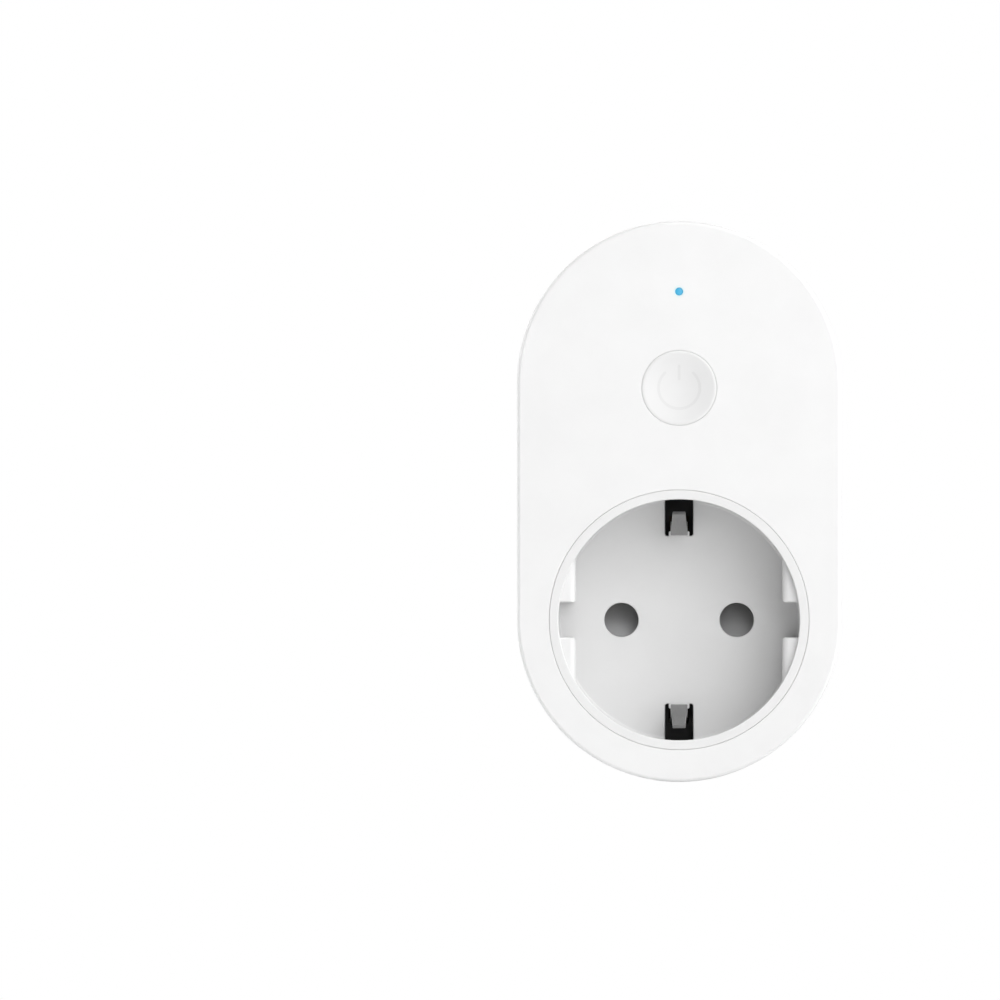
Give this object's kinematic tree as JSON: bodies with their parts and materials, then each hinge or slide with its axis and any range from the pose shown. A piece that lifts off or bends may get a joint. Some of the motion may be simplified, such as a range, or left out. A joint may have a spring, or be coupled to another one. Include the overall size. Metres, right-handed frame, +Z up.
{
  "type": "smart plug",
  "caption": "Wall adapter with an earthed round-pin plug behind and a shuttered, earthed socket in front, a dished power button and a status light above it.",
  "frame": {"origin": "midway between the two plug pins, on the plug's mating face", "axes": "+Y along the plug pins into the wall, -Y to the front, +Z up, +X to the right seen from the front"},
  "size_m": [0.0534, 0.0739, 0.0924],
  "materials": {
    "housing_white": "satin white moulded plastic",
    "socket_white": "satin white moulded plastic",
    "button_white": "satin white moulded plastic",
    "lens_blue": "clear, lit blue from behind",
    "led_white": "moulded",
    "shutter_grey": "smooth grey moulded plastic",
    "insulator_dark": "glass-filled moulding",
    "switch_black": "moulded",
    "nickel": "nickel-plated brass, turned",
    "earth_steel": "plated spring strip",
    "brass": "stamped sheet",
    "bronze": "oxidised strip",
    "screw_steel": "zinc-plated",
    "spring_steel": "drawn wire",
    "board_green": "solder mask on glass-epoxy board",
    "board_blue": "solder mask on glass-epoxy board",
    "shield_steel": "tin-plated sheet",
    "relay_blue": "moulded case",
    "capacitor_blue": "plastic sleeve on an aluminium can",
    "capacitor_yellow": "moulded case",
    "varistor_blue": "dipped coating",
    "coil_brown": "enamelled wire on a ferrite drum",
    "resistor_green": "cement coating",
    "chip_black": "moulded package",
    "insulator_pale": "moulded"
  },
  "bodies": {
    "housing": {"front_shell": "housing_white", "rear_cover": "housing_white", "plug_base": "housing_white", "socket_cup": "socket_white", "led_lens": "lens_blue", "status_led": "led_white", "tact_switch": "switch_black", "main_board": "board_green", "wifi_board": "board_blue", "wifi_shield": "shield_steel", "relay": "relay_blue", "bulk_capacitors": "capacitor_blue", "filter_inductor": "coil_brown", "safety_capacitor": "capacitor_yellow", "varistor": "varistor_blue", "fuse_resistor": "resistor_green", "bridge_rectifier": "chip_black", "power_chip": "chip_black", "meter_chip": "chip_black", "shunt_resistor": "shield_steel", "live_plug_pin": "nickel", "neutral_plug_pin": "nickel", "pin_retainer": "insulator_dark", "retainer_screws": "screw_steel", "plug_earth_strip_upper": "nickel", "plug_earth_strip_lower": "nickel", "earth_pin_sleeve": "brass", "earth_bar": "bronze", "live_bar_in": "brass", "live_bar_out": "brass", "neutral_bar": "brass", "live_contact": "brass", "neutral_contact": "brass", "contact_carrier": "insulator_dark", "carrier_screws": "screw_steel", "shutter_frame": "insulator_pale", "shutter_spring": "spring_steel", "housing_screws": "screw_steel", "board_screws": "screw_steel"},
    "button": {"power_button": "button_white", "switch_plunger": "switch_black"},
    "shutter": {"shutter_slider": "shutter_grey"},
    "upper_clip": {"earth_clip_upper": "earth_steel"},
    "lower_clip": {"earth_clip_lower": "earth_steel"}
  },
  "joints": [
    {"name": "button_press", "type": "slide", "parent": "housing", "child": "button", "axis": [0, 1, 0], "range_m": [0, 0.0005], "stiffness_N_per_m": 600, "springref_m": -0.0004},
    {"name": "shutter_slide", "type": "slide", "parent": "housing", "child": "shutter", "axis": [0, 0, -1], "range_m": [0, 0.006], "stiffness_N_per_m": 80, "springref_m": -0.005, "deforming": ["shutter_spring"]},
    {"name": "upper_clip_flex", "type": "hinge", "parent": "housing", "child": "upper_clip", "pos_m": [0, -0.025, -0.02435], "axis": [-1, 0, 0], "range_deg": [0, 7.5], "stiffness_Nm_per_rad": 1},
    {"name": "lower_clip_flex", "type": "hinge", "parent": "housing", "child": "lower_clip", "pos_m": [0, -0.025, -0.05365], "axis": [1, 0, 0], "range_deg": [0, 7.5], "stiffness_Nm_per_rad": 1}
  ]
}
